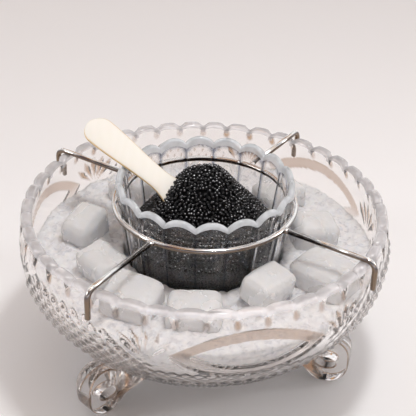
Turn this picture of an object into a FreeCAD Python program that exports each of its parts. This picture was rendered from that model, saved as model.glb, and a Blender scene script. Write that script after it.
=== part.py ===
import FreeCAD, Part
import math
import os

os.makedirs("parts", exist_ok=True)

Vector = FreeCAD.Vector
UP = Vector(0, 0, 1)
ORIGIN = Vector(0, 0, 0)

# Bowl: one pressing of clear glass, standing on three feet
belly_radius = 116.4
belly_height = 94.0
belly_curve = 56.0
lower_wall_depth = 83.0
base_height = 22.0
rim_height = 115.2
rim_lean = 6.5
bowl_wall = 7.0
floor_thickness = 8.0
base_edge_round = 3.0
rim_edge_round = 1.8

# Scalloped rim: convex lobes with a thumbed notch under every valley
scallop_count = 42
first_valley_angle = 1.6
scallop_depth = 2.2
scallop_shoulder_radius = 12.0
scallop_shoulder_share = 0.76
cutter_margin = 4.0
notch_radius = 4.2
notch_depth = 1.7
notch_bottom_height = 104.5

# Pattern, repeated over each foot
foot_count = 3
first_foot_angle = -45.3
diamond_columns = 84
diamond_point_rise = 1.5
diamond_valley_rise = 0.25
diamond_plate_depth = 2.0
diamond_arch_top = 99.6
diamond_arch_drop = 0.0285
diamond_arch_reach = 30.0
diamond_band_top = 58.0
diamond_band_bottom = 42.0
fan_side_angle = 29.5
fan_foot_height = 79.5
fan_flutes = 5
fan_spread = 84.0
fan_start = 2.5
fan_length = 22.0
flute_width = 6.0
flute_depth = 1.9
flute_widest_share = 0.62
medallion_height = 85.0
medallion_half_width = 47.0
medallion_half_height = 18.5
medallion_band = 7.0
medallion_depth = 1.6
medallion_band_depth = 0.72

# Feet: a broad tongue under the wall that narrows and curls outward into a scroll
foot_ground_radius = 86.0
foot_pad_half_length = 3.5
scroll_radius = 15.0
scroll_top_height = 34.0
scroll_width = 14.0
scroll_round = 3.0
curl_radius = 12.0
curl_end_angle = 140.0
eye_height = 15.0
eye_half_length = 7.0
eye_half_height = 4.0
tongue_width_top = 36.0
tongue_width_bottom = 8.0
tongue_bulge = 0.4
tongue_bulge_height = 10.0
tongue_inner_radius = 62.0
tongue_outer_radius = 80.0

# Holder: chrome wire ring with four arms that hook over the rim
wire_diameter = 3.5
seat_clearance = 0.3
arm_count = 4
first_arm_angle = -32.3
arm_bend_radius = 6.0
arm_hook_drop = 19.0

# Cup: pressed glass tumbler that hangs in the ring by its taper
cup_height = 77.0
cup_bottom_height = 58.0
cup_rim_radius = 57.0
cup_taper = 8.0
cup_heel_curve = 24.0
cup_wall = 5.0
cup_floor = 7.0
cup_panels = 18
first_cup_valley_angle = -5.0
cup_arch_depth = 4.4
cup_arch_radius = 14.5
cup_arch_share = 0.88
cup_flute_radius = 60.0
cup_flute_depth = 1.5
cup_flute_length = 24.0

# Caviar: a heaped fill inside the cup, a round top on a cone, with grains standing out of it
heap_height = 140.2
heap_top_radius = 20.0
heap_slope = 44.0
fill_clearance = 0.3
grain_radius = 2.9
grain_stand = 1.5
grain_pitch = 6.2

# Spoon: mother-of-pearl, laid over the cup's rim with its bowl in the caviar
spoon_length = 112.0
spoon_end_width = 20.0
spoon_neck_width = 14.0
spoon_bowl_width = 26.0
spoon_bowl_length = 38.0
spoon_thickness = 3.2
spoon_dish_depth = 1.8
spoon_edge_round = 1.0
spoon_rest_angle = -112.0
spoon_rest_lift = 2.75
spoon_rise = 18.0
spoon_heading = -128.0
spoon_roll = 22.0
spoon_overhang = 34.0
spoon_neck_place = 47.5
spoon_dish_place = 17.5
spoon_dish_half_width = 11.0
# Half outline of the spoon's bowl: shares of the bowl's length and width
spoon_bowl_outline = [(0.14, 0.34), (0.5, 0.5), (0.86, 0.4)]
spoon_end_corner = 2.4
spoon_end_corner_half_width = 6.0

# Ice: a bed of crushed ice with half-melted cubes frozen into it
ice_bed_height = 84.0
ice_wall_clearance = 0.3
ice_cup_clearance = 1.2
cube_corner_cut = 4.0
# Each cube: angle, place across the gap between cup and wall, height of its middle over the bed,
# length, width, height, turn, tilt to the side, tilt to the front
ice_cubes = [
    (-97, -5, 4, 23, 30, 26, -27, 4, 11),
    (-61, -13, 5, 32, 24, 22, -46, 2, 10),
    (-31.5, -5, 3, 33, 28, 28, -24, 4, 8),
    (-3, -8, 0, 33, 26, 26, -3, -4, 6),
    (35, -15, 9, 33, 23, 20, 50, 4, 12),
    (63, 1, 7, 38, 30, 20, -38, -2, 3),
    (100, -11, 3, 30, 26, 26, 14, 4, 4),
    (138, -7, 3, 30, 28, 27, 40, -9, 7),
    (178, -7, 3, 32, 27, 27, 4, 8, 10),
    (220, -7, 3, 30, 28, 27, -32, -10, -6),
]

# Small lengths: cutters run past a face by an overshoot, and places closer than a weld are one
overshoot = 1.0
weld = 0.01

half_wire = wire_diameter / 2
ring_height = rim_height + seat_clearance + half_wire
cup_rim_height = cup_bottom_height + cup_height
cup_turn = math.radians(cup_taper)
cup_seat_radius = cup_rim_radius - (cup_rim_height - ring_height) * math.tan(cup_turn)
ring_radius = cup_seat_radius + (seat_clearance + half_wire) / math.cos(cup_turn)
arm_drop_radius = belly_radius + seat_clearance + half_wire
# The wall in section: a sphere up from the floor, a torus round the belly, a cone up to the rim
belly_centre = belly_radius - belly_curve
lower_turn = math.pi / 2 - 2 * math.atan((lower_wall_depth - belly_curve) / belly_centre)
lower_curve = belly_curve + belly_centre / math.cos(lower_turn)
lower_centre_height = belly_height + belly_centre * math.tan(lower_turn)
rim_turn = math.radians(rim_lean)
heap_turn = math.radians(heap_slope)


def polar(radius, angle, height):
    """Point at an angle measured from the front, positive to the right."""
    turn = math.radians(angle)
    return Vector(radius * math.sin(turn), -radius * math.cos(turn), height)


def turned(shape, angle):
    """Copy of a shape turned about the bowl's axis."""
    copy = shape.copy()
    copy.rotate(ORIGIN, UP, angle)
    return copy


def belly_point(turn, inset):
    """Point of the wall's section on its belly curve, at a turn up from the widest place."""
    reach = belly_curve - inset
    return Vector(belly_centre + reach * math.cos(turn), 0, belly_height + reach * math.sin(turn))


def wall_radius(height, inset=0.0):
    """Radius of the bowl's wall at a height, moved inwards by an inset."""
    low = belly_point(-lower_turn, inset)
    high = belly_point(rim_turn, inset)
    if height > high.z:
        return high.x - (height - high.z) * math.tan(rim_turn)
    if height > low.z:
        return belly_centre + math.sqrt((belly_curve - inset) ** 2 - (height - belly_height) ** 2)
    return math.sqrt((lower_curve - inset) ** 2 - (lower_centre_height - height) ** 2)


def wall_slope(height):
    """Change of the wall's radius with height."""
    step = 0.05
    return (wall_radius(height + step) - wall_radius(height - step)) / (2 * step)


def on_wall(angle, height, rise):
    """Point that stands off the bowl's outer surface by a rise."""
    slope = wall_slope(height)
    scale = rise / math.sqrt(1 + slope ** 2)
    return polar(wall_radius(height) + scale, angle, height - scale * slope)


def wall_outline(inset, bottom, top):
    """Edges of the wall from the axis at the bottom out to the top edge."""

    def at(height):
        return Vector(wall_radius(height, inset), 0, height)

    low = belly_point(-lower_turn, inset)
    high = belly_point(rim_turn, inset)
    edges = []
    if bottom < low.z:
        end = min(low.z, top)
        edges.append(Part.Arc(at(bottom), at((bottom + end) / 2), at(end)).toShape())
    if bottom < high.z and top > low.z:
        start = max(low.z, bottom)
        end = min(high.z, top)
        edges.append(Part.Arc(at(start), at((start + end) / 2), at(end)).toShape())
    if top > high.z:
        edges.append(Part.LineSegment(at(max(high.z, bottom)), at(top)).toShape())
    return [Part.LineSegment(Vector(0, 0, bottom), at(bottom)).toShape()] + edges


def revolved(edges):
    """Solid of revolution from edges that run from the axis back to the axis."""
    first = edges[0].Vertexes[0].Point
    last = Vector(0, 0, edges[-1].Vertexes[-1].Point.z)
    wire = Part.Wire(edges + [Part.LineSegment(last, first).toShape()])
    return Part.Face(wire).revolve(ORIGIN, UP, 360)


def wall_body(inset, bottom, top):
    """Solid inside the wall's surface at an inset, from a bottom to a top height."""
    edges = wall_outline(inset, bottom, top)
    edges.append(Part.LineSegment(Vector(wall_radius(top, inset), 0, top), Vector(0, 0, top)).toShape())
    return revolved(edges)


def polyhedron(points, triangles):
    """Solid with flat triangular faces."""
    skin = Part.Shape()
    skin.makeShapeFromMesh((points, triangles), weld / 10)
    solid = Part.Solid(Part.Shell(skin.Faces))
    if solid.Volume < 0:
        solid.reverse()
    return solid


def bowl_blank():
    """Plain bowl before its pattern: bellied wall, flat floor and eased rim."""
    outside = wall_body(0, base_height, rim_height)
    base_edge = [e for e in outside.Edges if e.Closed and abs(e.Vertexes[0].Z - base_height) < weld]
    outside = outside.makeFillet(base_edge_round, base_edge)
    hollow = wall_body(bowl_wall, base_height + floor_thickness, rim_height + overshoot)
    blank = outside.cut(hollow)
    rim_edges = [e for e in blank.Edges if e.Closed and abs(e.Vertexes[0].Z - rim_height) < weld]
    return blank.makeChamfer(rim_edge_round, rim_edges)


def scallop_valley(radius, count, top, depth, shoulder, share, inner, outer):
    """Radial cutter with two rounded shoulders that meet in a cusp under the rim's top."""
    reach = radius * math.sin(math.pi / count) * share
    half_chord = math.hypot(reach, depth) / 2
    lift = math.sqrt(shoulder ** 2 - half_chord ** 2)
    lean = math.atan2(depth, reach)
    centre_x = reach / 2 + lift * math.sin(lean)
    centre_z = -depth / 2 - lift * math.cos(lean)
    past_crest = math.radians(3)
    start = math.atan2(-depth - centre_z, -centre_x)
    end = math.atan2(-centre_z, reach - centre_x) - past_crest

    def shoulder_point(angle, side):
        return Vector(side * (centre_x + shoulder * math.cos(angle)), -inner,
                      top + centre_z + shoulder * math.sin(angle))

    edges = []
    for side in (-1, 1):
        arc = Part.Arc(shoulder_point(start, side), shoulder_point((start + end) / 2, side),
                       shoulder_point(end, side))
        edges.append(arc.toShape())
    left_end = shoulder_point(end, -1)
    right_end = shoulder_point(end, 1)
    over = top + depth
    right_corner = Vector(right_end.x, -inner, over)
    left_corner = Vector(left_end.x, -inner, over)
    edges.append(Part.LineSegment(right_end, right_corner).toShape())
    edges.append(Part.LineSegment(right_corner, left_corner).toShape())
    edges.append(Part.LineSegment(left_corner, left_end).toShape())
    wire = Part.Wire(Part.__sortEdges__(edges))
    return Part.Face(wire).extrude(Vector(0, inner - outer, 0))


def leaning_cylinder(radius, low_point, high_point, extra):
    """Round cutter along the line through two points, longer than their distance."""
    along = high_point.sub(low_point)
    along.normalize()
    start = low_point.sub(along * extra)
    return Part.makeCylinder(radius, high_point.sub(start).Length + extra, start, along)


def rim_cutters():
    """Cutters for the scallops and for the notch under each valley."""
    rim_radius = wall_radius(rim_height)
    valley = scallop_valley(rim_radius, scallop_count, rim_height, scallop_depth,
                            scallop_shoulder_radius, scallop_shoulder_share,
                            wall_radius(rim_height, bowl_wall) - cutter_margin,
                            belly_radius + cutter_margin)
    low = polar(wall_radius(notch_bottom_height) + notch_radius, 0, notch_bottom_height)
    high = polar(rim_radius - notch_depth + notch_radius, 0, rim_height)
    notch = leaning_cylinder(notch_radius, low, high, cutter_margin)
    cutters = []
    for index in range(scallop_count):
        angle = first_valley_angle + index * 360 / scallop_count
        cutters.append(turned(valley, angle))
        cutters.append(turned(notch, angle))
    return cutters


def diamond_rows():
    """Heights of the diamond pattern's half rows, spaced like its columns."""
    half_column = math.pi / diamond_columns
    rows = [diamond_arch_top]
    while rows[-1] > diamond_band_bottom:
        height = rows[-1]
        rows.append(height - wall_radius(height) * half_column / math.sqrt(1 + wall_slope(height) ** 2))
    return rows


def in_diamonds(angle, height):
    """Whether a diamond's centre lies in the arch over a foot or in the low band."""
    off_foot = (angle - first_foot_angle + 180 / foot_count) % (360 / foot_count) - 180 / foot_count
    if height <= diamond_band_top:
        return True
    arch_height = diamond_arch_top - diamond_arch_drop * off_foot ** 2
    return abs(off_foot) < diamond_arch_reach and height <= arch_height


def diamond_plate():
    """Plate of raised diamond points that covers the patterned part of the wall."""
    rows = diamond_rows()
    half_columns = 2 * diamond_columns
    step = 360 / half_columns
    points = []
    index_of = {}
    sides = {}
    triangles = []

    def point(column, row, rise):
        key = (column % half_columns, row, rise)
        if key not in index_of:
            index_of[key] = len(points)
            points.append(on_wall(first_foot_angle + column * step, rows[row], rise))
        return index_of[key]

    for row in range(1, len(rows) - 1):
        for column in range(row % 2, half_columns, 2):
            if not in_diamonds(first_foot_angle + column * step, rows[row]):
                continue
            around = [(column + 1, row), (column, row - 1), (column - 1, row), (column, row + 1)]
            top = point(column, row, diamond_point_rise)
            back = [point(c, r, -diamond_plate_depth) for c, r in around]
            triangles.append((back[0], back[2], back[1]))
            triangles.append((back[0], back[3], back[2]))
            for corner in range(4):
                first = around[corner]
                second = around[(corner + 1) % 4]
                a = point(first[0], first[1], diamond_valley_rise)
                b = point(second[0], second[1], diamond_valley_rise)
                triangles.append((top, a, b))
                a_key = (first[0] % half_columns, first[1])
                b_key = (second[0] % half_columns, second[1])
                if (b_key, a_key) in sides:
                    del sides[(b_key, a_key)]
                else:
                    sides[(a_key, b_key)] = True
    for (a_column, a_row), (b_column, b_row) in sides:
        a = point(a_column, a_row, diamond_valley_rise)
        b = point(b_column, b_row, diamond_valley_rise)
        a_back = point(a_column, a_row, -diamond_plate_depth)
        b_back = point(b_column, b_row, -diamond_plate_depth)
        triangles.append((a, a_back, b))
        triangles.append((b, a_back, b_back))
    return polyhedron(points, triangles)


def beside(angle, height, across, up, rise):
    """Point on the wall at a distance across and up from a place on it."""
    slope = wall_slope(height)
    new_height = height + up / math.sqrt(1 + slope ** 2)
    return on_wall(angle + math.degrees(across / wall_radius(height)), new_height, rise)


def flute_cutter(angle, height, lean):
    """Mitre cut with two flat sides and pointed ends, radiating from a fan's foot."""
    run_out = 0.6
    cap = 4.0
    side = math.sin(math.radians(lean))
    rise = math.cos(math.radians(lean))
    keel = fan_start + flute_widest_share * fan_length
    half = flute_width / 2 * (1 + run_out / flute_depth)
    near = fan_start - (keel - fan_start) * run_out / flute_depth
    far = fan_start + fan_length + (fan_length - keel + fan_start) * run_out / flute_depth

    def place(along, across, lift):
        return beside(angle, height, along * side + across * rise, along * rise - across * side, lift)

    points = [place(keel, 0, -flute_depth)]
    for lift in (run_out, cap):
        points.append(place(near, 0, lift))
        points.append(place(keel, half, lift))
        points.append(place(far, 0, lift))
        points.append(place(keel, -half, lift))
    triangles = []
    for corner in range(4):
        a = 1 + corner
        b = 1 + (corner + 1) % 4
        triangles.append((0, b, a))
        triangles.append((a, b, b + 4))
        triangles.append((a, b + 4, a + 4))
    triangles.append((5, 6, 7))
    triangles.append((5, 7, 8))
    return polyhedron(points, triangles)


def fan_cutters():
    """Cutters for the fans of flutes on both sides of every foot."""
    cutters = []
    for foot in range(foot_count):
        for side in (-1, 1):
            angle = first_foot_angle + foot * 360 / foot_count + side * fan_side_angle
            for flute in range(fan_flutes):
                lean = fan_spread * (flute / (fan_flutes - 1) - 0.5)
                cutters.append(flute_cutter(angle, fan_foot_height, lean))
    return cutters


def lens_prism(half_width, half_height, inner, outer):
    """Prism with a pointed oval outline, standing out from the wall at the front."""
    left = Vector(-half_width, -inner, medallion_height)
    right = Vector(half_width, -inner, medallion_height)
    upper = Part.Arc(left, Vector(0, -inner, medallion_height + half_height), right).toShape()
    lower = Part.Arc(right, Vector(0, -inner, medallion_height - half_height), left).toShape()
    return Part.Face(Part.Wire([upper, lower])).extrude(Vector(0, inner - outer, 0))


def medallion_cutters():
    """Sunk oval panels between the feet: a stepped band round a deeper field."""
    bottom = medallion_height - medallion_half_height - cutter_margin
    top = medallion_height + medallion_half_height + cutter_margin
    skin = wall_body(-cutter_margin, bottom, top)
    steps = [(0.0, medallion_band_depth), (medallion_band, medallion_depth)]
    cutters = []
    for band, depth in steps:
        layer = skin.cut(wall_body(depth, bottom - overshoot, top + overshoot))
        half_height = medallion_half_height - band
        half_width = medallion_half_width * half_height / medallion_half_height + band
        oval = lens_prism(half_width, half_height, tongue_outer_radius, belly_radius + cutter_margin)
        panel = layer.common(oval)
        for foot in range(foot_count):
            angle = first_foot_angle + (foot + 0.5) * 360 / foot_count
            cutters.append(turned(panel, angle))
    return cutters


def foot_solid():
    """One scroll foot at the front, pointing away from the axis."""
    middle = foot_ground_radius
    centre_height = math.sqrt(scroll_radius ** 2 - foot_pad_half_length ** 2)
    top = base_height + 2 * bowl_wall
    corner = Vector(tongue_inner_radius, 0, base_height)
    out = math.hypot(middle - corner.x, corner.z - centre_height)
    leave = (math.atan2(corner.z - centre_height, corner.x - middle)
             + math.acos(scroll_radius / out))

    def on_scroll(angle):
        return Vector(middle + scroll_radius * math.cos(angle), 0,
                      centre_height + scroll_radius * math.sin(angle))

    curl_x = middle + scroll_radius - curl_radius
    curl_z = scroll_top_height - curl_radius
    curl_end = math.radians(curl_end_angle)

    def on_curl(angle):
        return Vector(curl_x + curl_radius * math.cos(angle), 0, curl_z + curl_radius * math.sin(angle))

    start = on_scroll(leave)
    tip = on_curl(curl_end)
    root = Vector(tongue_inner_radius, 0, top)
    edges = [Part.Arc(start, on_scroll(-math.pi / 2), on_scroll(0)).toShape(),
             Part.LineSegment(on_scroll(0), on_curl(0)).toShape(),
             Part.Arc(on_curl(0), on_curl(curl_end / 2), tip).toShape(),
             Part.LineSegment(tip, root).toShape(),
             Part.LineSegment(root, corner).toShape(),
             Part.LineSegment(corner, start).toShape()]
    scroll = Part.Face(Part.Wire(edges)).extrude(Vector(0, scroll_width, 0))
    scroll.translate(Vector(0, -scroll_width / 2, 0))
    rounded = []
    for edge in scroll.Edges:
        on_side = abs(abs(edge.CenterOfMass.y) - scroll_width / 2) < weld
        outside = edge.CenterOfMass.x > corner.x + overshoot
        under_root = max(v.Z for v in edge.Vertexes) < top - overshoot
        if on_side and outside and under_root and edge.CenterOfMass.z < scroll_top_height:
            rounded.append(edge)
    scroll = scroll.makeFillet(scroll_round, rounded)
    eye = Part.Ellipse(Vector(middle + eye_half_length, 0, eye_height),
                       Vector(middle, 0, eye_height + eye_half_height), Vector(middle, 0, eye_height))
    hole = Part.Face(Part.Wire([eye.toShape()])).extrude(Vector(0, 2 * scroll_width, 0))
    hole.translate(Vector(0, -scroll_width, 0))

    outer = tongue_outer_radius
    side_view = Part.makePolygon([root, corner, start, Vector(middle, 0, 0),
                                  Vector(outer, 0, eye_height - eye_half_height),
                                  Vector(outer, 0, base_height),
                                  Vector(outer + bowl_wall, 0, top + bowl_wall), root])
    tongue = Part.Face(side_view).extrude(Vector(0, tongue_width_top, 0))
    tongue.translate(Vector(0, -tongue_width_top / 2, 0))
    wide = tongue_width_top / 2
    narrow = tongue_width_bottom / 2
    behind = tongue_inner_radius - overshoot
    high = top + 2 * bowl_wall
    front_edges = []
    for side in (-1, 1):
        foot_point = Vector(behind, side * narrow, 0)
        bulge_point = Vector(behind, side * (narrow + (wide - narrow) * tongue_bulge),
                              tongue_bulge_height)
        neck_point = Vector(behind, side * wide, base_height)
        front_edges.append(Part.Arc(foot_point, bulge_point, neck_point).toShape())
        front_edges.append(Part.LineSegment(neck_point, Vector(behind, side * wide, high)).toShape())
    for height, half in ((0, narrow), (high, wide)):
        near = Vector(behind, -half, height)
        far = Vector(behind, half, height)
        front_edges.append(Part.LineSegment(near, far).toShape())
    front_view = Part.Face(Part.Wire(Part.__sortEdges__(front_edges)))
    tongue = tongue.common(front_view.extrude(Vector(middle, 0, 0)))
    below = Part.makeBox(4 * middle, 4 * middle, middle, Vector(-2 * middle, -2 * middle, -middle))
    foot = scroll.fuse(tongue).cut([hole, below])
    foot.rotate(ORIGIN, UP, -90)
    return foot


def make_bowl():
    """Bowl with scallops, fans, oval panels, diamond points and feet in one piece."""
    blank = bowl_blank()
    inside_wall = wall_body(diamond_plate_depth, base_height + diamond_plate_depth, rim_height)
    foot = foot_solid().cut(inside_wall)
    feet = [turned(foot, first_foot_angle + index * 360 / foot_count) for index in range(foot_count)]
    bowl = blank.cut(rim_cutters())
    bowl = bowl.cut(medallion_cutters())
    bowl = bowl.cut(fan_cutters())
    return bowl.fuse([diamond_plate()] + feet)


def cup_body(inset, floor, top):
    """Solid inside the cup's surface, moved in by an inset and cut flat at a floor and a top."""
    heel = cup_heel_curve - inset
    heel_height = cup_bottom_height + cup_heel_curve
    side = cup_rim_radius - inset / math.cos(cup_turn)
    join_height = heel_height - heel * math.sin(cup_turn)
    join_radius = side - (cup_rim_height - join_height) * math.tan(cup_turn)
    heel_radius = join_radius - heel * math.cos(cup_turn)
    drop = math.asin(min((heel_height - floor) / heel, 1.0))
    middle = (drop + cup_turn) / 2

    def on_heel(turn):
        return Vector(heel_radius + heel * math.cos(turn), 0, heel_height - heel * math.sin(turn))

    brim = Vector(side + (top - cup_rim_height) * math.tan(cup_turn), 0, top)
    return revolved([Part.LineSegment(Vector(0, 0, floor), on_heel(drop)).toShape(),
                     Part.Arc(on_heel(drop), on_heel(middle), on_heel(cup_turn)).toShape(),
                     Part.LineSegment(on_heel(cup_turn), brim).toShape(),
                     Part.LineSegment(brim, Vector(0, 0, top)).toShape()])


def cup_cutters():
    """Cutters for the arched rim and the shallow flute in every panel."""
    valley = scallop_valley(cup_rim_radius, cup_panels, cup_rim_height, cup_arch_depth,
                            cup_arch_radius, cup_arch_share,
                            cup_rim_radius - 2 * cup_wall, cup_rim_radius + cup_wall)
    low_height = cup_rim_height - cup_flute_length
    low_radius = cup_rim_radius - math.tan(cup_turn) * cup_flute_length
    low = polar(low_radius + cup_flute_radius, 0, low_height)
    high = polar(cup_rim_radius - cup_flute_depth + cup_flute_radius, 0, cup_rim_height)
    flute = leaning_cylinder(cup_flute_radius, low, high, cutter_margin)
    cutters = []
    for panel in range(cup_panels):
        angle = first_cup_valley_angle + panel * 360 / cup_panels
        cutters.append(turned(valley, angle))
        cutters.append(turned(flute, angle + 180 / cup_panels))
    return cutters


def make_cup():
    """Cup with an arched rim and fluted panels."""
    outside = cup_body(0, cup_bottom_height, cup_rim_height)
    hollow = cup_body(cup_wall, cup_bottom_height + cup_floor, cup_rim_height + 2 * cup_wall)
    blank = outside.cut(hollow)
    return blank.cut(cup_cutters())


def make_ring():
    """Wire ring that the cup hangs in."""
    return Part.makeTorus(ring_radius, half_wire, Vector(0, 0, ring_height), UP)


def make_arm(ring):
    """Wire arm at the front, butted against the ring and hooked over the rim."""
    bend_x = arm_drop_radius - arm_bend_radius
    bend_centre = Vector(0, -bend_x, ring_height - arm_bend_radius)
    outward = Vector(0, -1, 0)
    start = Vector(0, -ring_radius, ring_height)
    bar = Part.makeCylinder(half_wire, bend_x - ring_radius, start, outward)
    section = Part.Face(Part.Wire([Part.makeCircle(half_wire, Vector(0, -bend_x, ring_height), outward)]))
    bend = section.revolve(bend_centre, Vector(1, 0, 0), 90)
    end = Vector(0, -arm_drop_radius, ring_height - arm_hook_drop)
    hook = Part.makeCylinder(half_wire, arm_hook_drop - arm_bend_radius, end, UP)
    return bar.fuse([bend, hook]).cut(ring).removeSplitter()


def make_spoon():
    """Spoon cut from shell: oval shallow bowl, narrow neck and a broad rounded end."""
    end_x = spoon_length - spoon_end_width / 2 - spoon_end_corner
    half_outline = [(spoon_bowl_length * along, spoon_bowl_width * across)
                    for along, across in spoon_bowl_outline]
    half_outline += [(spoon_neck_place, spoon_neck_width / 2),
                     ((spoon_neck_place + end_x) / 2, (spoon_neck_width + spoon_end_width) / 4),
                     (end_x, spoon_end_width / 2),
                     (spoon_length - spoon_end_corner, spoon_end_corner_half_width)]
    points = [Vector(0, 0, 0)]
    points += [Vector(x, -y, 0) for x, y in half_outline]
    points.append(Vector(spoon_length, 0, 0))
    points += [Vector(x, y, 0) for x, y in reversed(half_outline)]
    outline = Part.BSplineCurve()
    outline.interpolate(points, PeriodicFlag=True)
    blade = Part.Face(Part.Wire([outline.toShape()])).extrude(Vector(0, 0, spoon_thickness))
    rims = [e for e in blade.Edges if e.Closed]
    blade = blade.makeFillet(spoon_edge_round, rims)
    dish_radius = (spoon_dish_half_width ** 2 + spoon_dish_depth ** 2) / (2 * spoon_dish_depth)
    dish_top = spoon_thickness + dish_radius - spoon_dish_depth
    dish = Part.makeSphere(dish_radius, Vector(spoon_dish_place, 0, dish_top))
    spoon = blade.cut(dish)
    spoon.translate(Vector(spoon_overhang - spoon_length, 0, 0))
    spoon.rotate(ORIGIN, Vector(1, 0, 0), -spoon_roll)
    spoon.rotate(ORIGIN, Vector(0, 1, 0), -spoon_rise)
    spoon.rotate(ORIGIN, UP, spoon_heading - 90)
    rest = polar(cup_rim_radius - cup_wall / 2, spoon_rest_angle, cup_rim_height + spoon_rest_lift)
    spoon.translate(rest)
    return spoon


def heap_point(radius, stand):
    """Point that stands off the heap's surface at a radius, in section."""
    top_centre = heap_height - heap_top_radius
    shoulder = heap_top_radius * math.sin(heap_turn)
    turn = min(math.asin(min(radius / heap_top_radius, 1)), heap_turn)
    down = max(radius - shoulder, 0) * math.tan(heap_turn)
    height = top_centre + heap_top_radius * math.cos(turn) - down
    return Vector(radius + stand * math.sin(turn), 0, height + stand * math.cos(turn))


def grain_centres(spoon):
    """Centres of the grains on the heap, in rows over it, clear of the cup and of the spoon."""
    sunk = grain_stand - grain_radius
    row_step = grain_pitch * math.sqrt(3) / 2
    reach = int(cup_rim_radius / row_step)
    centres = []
    for row in range(-reach, reach + 1):
        for place in range(-reach, reach + 1):
            x = (place + (row % 2) / 2) * grain_pitch
            y = row * row_step
            radius = math.hypot(x, y)
            centre = heap_point(radius, sunk)
            side = cup_rim_radius - cup_wall / math.cos(cup_turn)
            inner = side - (cup_rim_height - centre.z) * math.tan(cup_turn)
            if radius + grain_radius + 2 * fill_clearance > inner:
                continue
            centre = Vector(x, y, centre.z)
            if spoon.distToShape(Part.Vertex(centre))[0] > grain_radius + fill_clearance:
                centres.append(centre)
    return centres


def make_caviar(spoon):
    """Fill of the cup with a heaped, grainy top, opened where the spoon is in it."""
    floor = cup_bottom_height + cup_floor
    shoulder = heap_point(heap_top_radius * math.sin(heap_turn), 0)
    edge = heap_point(cup_rim_radius, 0)
    middle = heap_point(heap_top_radius * math.sin(heap_turn / 2), 0)
    heap = revolved([Part.LineSegment(Vector(0, 0, floor), Vector(edge.x, 0, floor)).toShape(),
                     Part.LineSegment(Vector(edge.x, 0, floor), edge).toShape(),
                     Part.LineSegment(edge, shoulder).toShape(),
                     Part.Arc(shoulder, middle, heap_point(0, 0)).toShape()])
    room = cup_body(cup_wall + fill_clearance, floor, heap_height)
    grains = [Part.makeSphere(grain_radius, centre) for centre in grain_centres(spoon)]
    return heap.common(room).cut(spoon).fuse(grains)


def make_cubes():
    """Ice blocks with blunted edges, frozen into the bed in the gap between cup and wall."""
    gap_middle = (cup_rim_radius + wall_radius(ice_bed_height, bowl_wall)) / 2
    cubes = []
    for angle, across, lift, length, width, height, turn, side_tilt, front_tilt in ice_cubes:
        cube = Part.makeBox(length, width, height, Vector(-length / 2, -width / 2, -height / 2))
        cube = cube.makeChamfer(cube_corner_cut, cube.Edges)
        cube.rotate(ORIGIN, Vector(0, 1, 0), side_tilt)
        cube.rotate(ORIGIN, Vector(1, 0, 0), front_tilt)
        cube.rotate(ORIGIN, UP, turn)
        cube.translate(polar(gap_middle + across, angle, ice_bed_height + lift))
        cubes.append(cube)
    return cubes


def make_ice_bed(cubes):
    """Crushed ice between the bowl and the cup, with a dent round each cube."""
    floor = base_height + floor_thickness
    bed = wall_body(bowl_wall + ice_wall_clearance, floor, ice_bed_height)
    well = cup_body(-ice_cup_clearance, cup_bottom_height - ice_cup_clearance, cup_rim_height)
    return bed.cut([well] + cubes)


ring = make_ring()
arm = make_arm(ring)
spoon = make_spoon()
cubes = make_cubes()
nodes = {
    "bowl": make_bowl(),
    "cup": make_cup(),
    "holder_ring": ring,
    "spoon": spoon,
    "caviar": make_caviar(spoon),
    "ice_bed": make_ice_bed(cubes),
}
for index in range(arm_count):
    nodes["holder_arm_%d" % (index + 1)] = turned(arm, first_arm_angle + index * 360 / arm_count)
for index, cube in enumerate(cubes):
    nodes["ice_cube_%d" % (index + 1)] = cube
for name, shape in nodes.items():
    solid = shape.Solids[0] if len(shape.Solids) == 1 else shape
    solid.exportStep("parts/" + name + ".step")
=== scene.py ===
import math
import random
import bmesh
import bpy
import numpy as np
from mathutils import Matrix, Vector, noise


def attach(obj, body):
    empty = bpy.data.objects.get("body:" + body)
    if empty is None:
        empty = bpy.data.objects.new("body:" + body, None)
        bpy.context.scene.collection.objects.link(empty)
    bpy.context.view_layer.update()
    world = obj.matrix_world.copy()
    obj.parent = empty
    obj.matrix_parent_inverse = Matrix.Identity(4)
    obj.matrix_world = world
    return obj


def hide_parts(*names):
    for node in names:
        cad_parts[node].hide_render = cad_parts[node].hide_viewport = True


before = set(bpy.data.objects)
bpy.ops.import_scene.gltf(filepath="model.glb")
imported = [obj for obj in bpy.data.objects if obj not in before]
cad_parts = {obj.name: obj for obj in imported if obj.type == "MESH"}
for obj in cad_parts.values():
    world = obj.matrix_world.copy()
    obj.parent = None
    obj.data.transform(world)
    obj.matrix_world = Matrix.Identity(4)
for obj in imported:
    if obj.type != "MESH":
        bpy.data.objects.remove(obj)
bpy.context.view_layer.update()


# Table and studio light.
# A pale table top in a white cloth tent; warm wood and a dark ceiling show through gaps high up.
# The camera looks down over the front rim, as in the photograph.
table_reach = 1.6
table_colour = (0.90, 0.895, 0.90, 1)
cloth_colour = (1.0, 0.995, 1.01, 1)
warm_wood = (0.50, 0.24, 0.06, 1)
dark_ceiling = (0.05, 0.035, 0.07, 1)
dim_doorway = (0.045, 0.035, 0.04, 1)
doorway_direction = (0.05, -0.82, 0.57)

bm = bmesh.new()
bmesh.ops.create_circle(bm, cap_ends=True, radius=table_reach, segments=96)
table_mesh = bpy.data.meshes.new("table_top")
bm.to_mesh(table_mesh)
bm.free()
table_top = bpy.data.objects.new("table_top", table_mesh)
bpy.context.collection.objects.link(table_top)


def new_finish(name, **values):
    """Material with plain values on its shader: returns the material, its tree and the shader's inputs."""
    finish = bpy.data.materials.new(name)
    finish.use_nodes = True
    sockets = finish.node_tree.nodes["Principled BSDF"].inputs
    for label, value in values.items():
        sockets[label.replace("_", " ")].default_value = value
    return finish, finish.node_tree, sockets


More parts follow.
